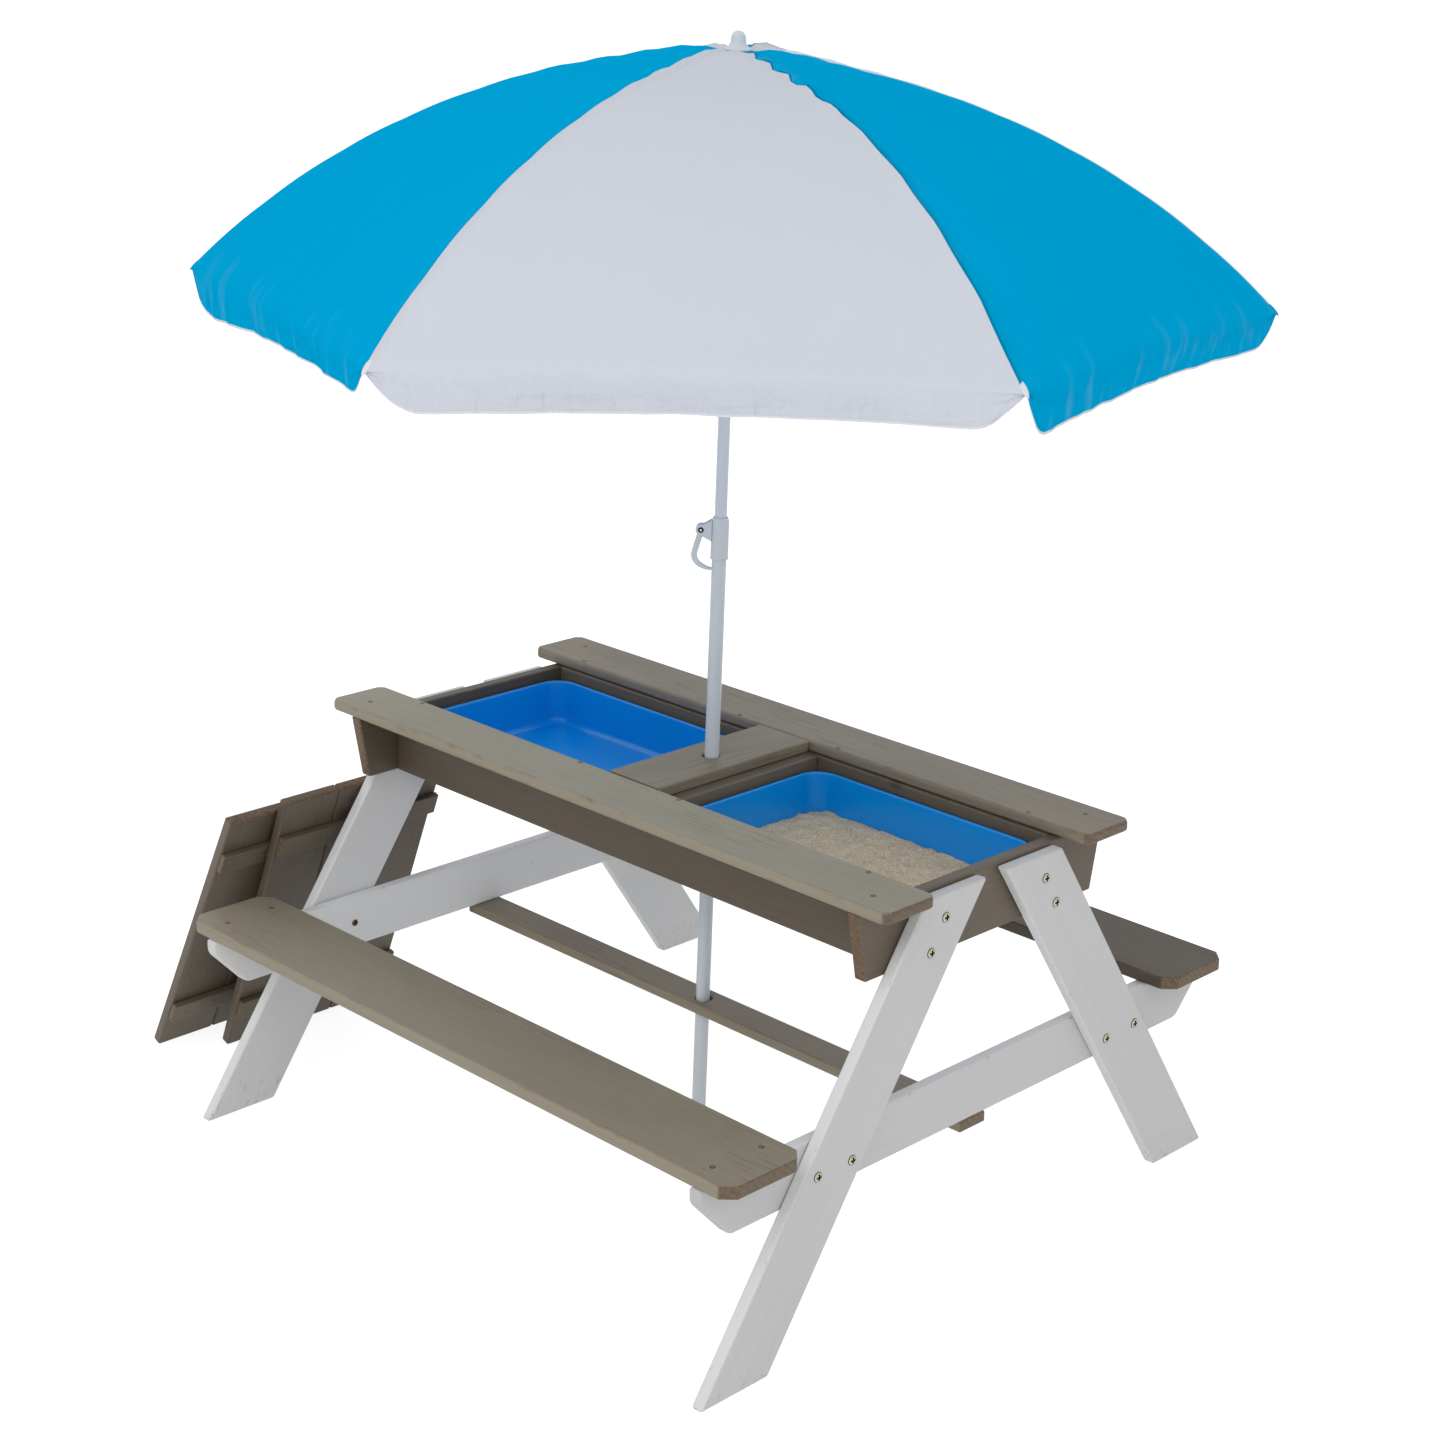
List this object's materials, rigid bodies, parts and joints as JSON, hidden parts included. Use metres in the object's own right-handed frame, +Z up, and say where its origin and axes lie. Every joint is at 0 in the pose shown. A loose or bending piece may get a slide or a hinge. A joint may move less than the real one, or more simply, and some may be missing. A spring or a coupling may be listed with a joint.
{
  "type": "picnic table with sandbox",
  "caption": "Children's wooden picnic table with benches, two plastic tubs let into its top, loose plank lids leaning at one end and a small parasol through the middle.",
  "frame": {"origin": "on the ground, under the middle of the whole object's bounding box", "axes": "+Z up; +X along the boards, away from the leaning lids; +Y from the front bench to the back bench"},
  "size_m": [1.2758, 1.2168, 1.3524],
  "materials": {
    "stained_wood": "grey-brown stain, matte, grain showing",
    "white_wood": "thin white paint, satin, slightly scuffed",
    "tub_plastic": "moulded, semi-gloss",
    "sand": "loose dry sand",
    "pole_paint": "light grey paint, satin",
    "white_plastic": "moulded, satin",
    "steel": "plain",
    "canopy_cloth": "thin coated cloth, panels in two colours in turn"
  },
  "bodies": {
    "table": {"top_board_front": "stained_wood", "top_board_back": "stained_wood", "centre_board": "stained_wood", "end_board_left": "stained_wood", "end_board_right": "stained_wood", "apron_front": "stained_wood", "apron_back": "stained_wood", "divider_left": "stained_wood", "divider_right": "stained_wood", "bench_front": "stained_wood", "bench_back": "stained_wood", "stretcher": "stained_wood", "tub_slat_left_1": "stained_wood", "tub_slat_left_2": "stained_wood", "tub_slat_right_1": "stained_wood", "tub_slat_right_2": "stained_wood", "leg_front_left": "white_wood", "leg_front_right": "white_wood", "leg_back_left": "white_wood", "leg_back_right": "white_wood", "cross_rail_left": "white_wood", "cross_rail_right": "white_wood"},
    "tub_left": {"tub_left": "tub_plastic"},
    "tub_right": {"tub_right": "tub_plastic", "sand": "sand"},
    "near_lid": {"near_lid_plank_1": "stained_wood", "near_lid_plank_2": "stained_wood", "near_lid_plank_3": "stained_wood", "near_lid_batten_1": "stained_wood", "near_lid_batten_2": "stained_wood"},
    "far_lid": {"far_lid_plank_1": "stained_wood", "far_lid_plank_2": "stained_wood", "far_lid_plank_3": "stained_wood", "far_lid_batten_1": "stained_wood", "far_lid_batten_2": "stained_wood"},
    "pole": {"lower_tube": "pole_paint", "collar": "white_plastic", "clip_rivet": "steel"},
    "clip_lever": {"clip_lever": "white_plastic"},
    "mast": {"upper_tube": "pole_paint", "hub": "white_plastic", "finial": "white_plastic", "canopy": "canopy_cloth"},
    "runner": {"runner": "white_plastic"},
    "rib_1": {"rib_1": "white_plastic"},
    "rib_2": {"rib_2": "white_plastic"},
    "rib_3": {"rib_3": "white_plastic"},
    "rib_4": {"rib_4": "white_plastic"},
    "rib_5": {"rib_5": "white_plastic"},
    "rib_6": {"rib_6": "white_plastic"},
    "strut_1": {"strut_1": "white_plastic"},
    "strut_2": {"strut_2": "white_plastic"},
    "strut_3": {"strut_3": "white_plastic"},
    "strut_4": {"strut_4": "white_plastic"},
    "strut_5": {"strut_5": "white_plastic"},
    "strut_6": {"strut_6": "white_plastic"}
  },
  "joints": [
    {"name": "tub_left_lift", "type": "slide", "parent": "table", "child": "tub_left", "axis": [0, 0, 1], "range_m": [0, 0.15]},
    {"name": "tub_right_lift", "type": "slide", "parent": "table", "child": "tub_right", "axis": [0, 0, 1], "range_m": [0, 0.15]},
    {"name": "near_lid_away", "type": "slide", "parent": "table", "child": "near_lid", "axis": [0, -1, 0], "range_m": [0, 0.2]},
    {"name": "far_lid_away", "type": "slide", "parent": "table", "child": "far_lid", "axis": [-1, 0, 0], "range_m": [0, 0.15]},
    {"name": "parasol_lift", "type": "slide", "parent": "table", "child": "pole", "axis": [0.0121, 0.0109, 0.9999], "range_m": [0, 0.51]},
    {"name": "clip_turn", "type": "hinge", "parent": "pole", "child": "clip_lever", "pos_m": [0.02621, -0.01806, 0.78032], "axis": [-0.6691, 0.7431, 0], "range_deg": [0, 60]},
    {"name": "mast_height", "type": "slide", "parent": "pole", "child": "mast", "axis": [0.0121, 0.0109, 0.9999], "range_m": [-0.1, 0.06]},
    {"name": "canopy_fold", "type": "slide", "parent": "mast", "child": "runner", "axis": [-0.0121, -0.0109, -0.9999], "range_m": [0, 0.3165], "deforming": ["canopy"]},
    {"name": "rib_1_fold", "type": "hinge", "parent": "mast", "child": "rib_1", "pos_m": [0.06056, 0.01286, 1.32345], "axis": [-0.6691, 0.7431, 0], "range_deg": [0, 60]},
    {"name": "rib_2_fold", "type": "hinge", "parent": "mast", "child": "rib_2", "pos_m": [0.0463, 0.0175, 1.32357], "axis": [-0.9781, -0.2078, 0.0141], "range_deg": [0, 60]},
    {"name": "rib_3_fold", "type": "hinge", "parent": "mast", "child": "rib_3", "pos_m": [0.03515, 0.00747, 1.32382], "axis": [-0.3089, -0.951, 0.0141], "range_deg": [0, 60]},
    {"name": "rib_4_fold", "type": "hinge", "parent": "mast", "child": "rib_4", "pos_m": [0.03827, -0.00721, 1.32394], "axis": [0.6691, -0.7431, 0], "range_deg": [0, 60]},
    {"name": "rib_5_fold", "type": "hinge", "parent": "mast", "child": "rib_5", "pos_m": [0.05253, -0.01184, 1.32382], "axis": [0.9781, 0.2078, -0.0141], "range_deg": [0, 60]},
    {"name": "rib_6_fold", "type": "hinge", "parent": "mast", "child": "rib_6", "pos_m": [0.06368, -0.00181, 1.32357], "axis": [0.3089, 0.951, -0.0141], "range_deg": [0, 60]},
    {"name": "strut_1_fold", "type": "hinge", "parent": "rib_1", "child": "strut_1", "pos_m": [0.20927, 0.14676, 1.28919], "axis": [-0.6691, 0.7431, 0], "range_deg": [-120, 0]},
    {"name": "strut_2_fold", "type": "hinge", "parent": "rib_2", "child": "strut_2", "pos_m": [0.0042, 0.21341, 1.29094], "axis": [-0.9781, -0.2078, 0.0141], "range_deg": [-120, 0]},
    {"name": "strut_3_fold", "type": "hinge", "parent": "rib_3", "child": "strut_3", "pos_m": [-0.15603, 0.06914, 1.29444], "axis": [-0.3089, -0.951, 0.0141], "range_deg": [-120, 0]},
    {"name": "strut_4_fold", "type": "hinge", "parent": "rib_4", "child": "strut_4", "pos_m": [-0.11119, -0.14178, 1.29619], "axis": [0.6691, -0.7431, 0], "range_deg": [-120, 0]},
    {"name": "strut_5_fold", "type": "hinge", "parent": "rib_5", "child": "strut_5", "pos_m": [0.09388, -0.20842, 1.29444], "axis": [0.9781, 0.2078, -0.0141], "range_deg": [-120, 0]},
    {"name": "strut_6_fold", "type": "hinge", "parent": "rib_6", "child": "strut_6", "pos_m": [0.25411, -0.06415, 1.29094], "axis": [0.3089, 0.951, -0.0141], "range_deg": [-120, 0]}
  ],
  "couplings": [
    {"joint": "rib_1_fold", "follows": "canopy_fold", "rad_per_m": 3.3085},
    {"joint": "rib_2_fold", "follows": "canopy_fold", "rad_per_m": 3.3085},
    {"joint": "rib_3_fold", "follows": "canopy_fold", "rad_per_m": 3.3085},
    {"joint": "rib_4_fold", "follows": "canopy_fold", "rad_per_m": 3.3085},
    {"joint": "rib_5_fold", "follows": "canopy_fold", "rad_per_m": 3.3085},
    {"joint": "rib_6_fold", "follows": "canopy_fold", "rad_per_m": 3.3085},
    {"joint": "strut_1_fold", "follows": "canopy_fold", "rad_per_m": -6.617},
    {"joint": "strut_2_fold", "follows": "canopy_fold", "rad_per_m": -6.617},
    {"joint": "strut_3_fold", "follows": "canopy_fold", "rad_per_m": -6.617},
    {"joint": "strut_4_fold", "follows": "canopy_fold", "rad_per_m": -6.617},
    {"joint": "strut_5_fold", "follows": "canopy_fold", "rad_per_m": -6.617},
    {"joint": "strut_6_fold", "follows": "canopy_fold", "rad_per_m": -6.617}
  ]
}
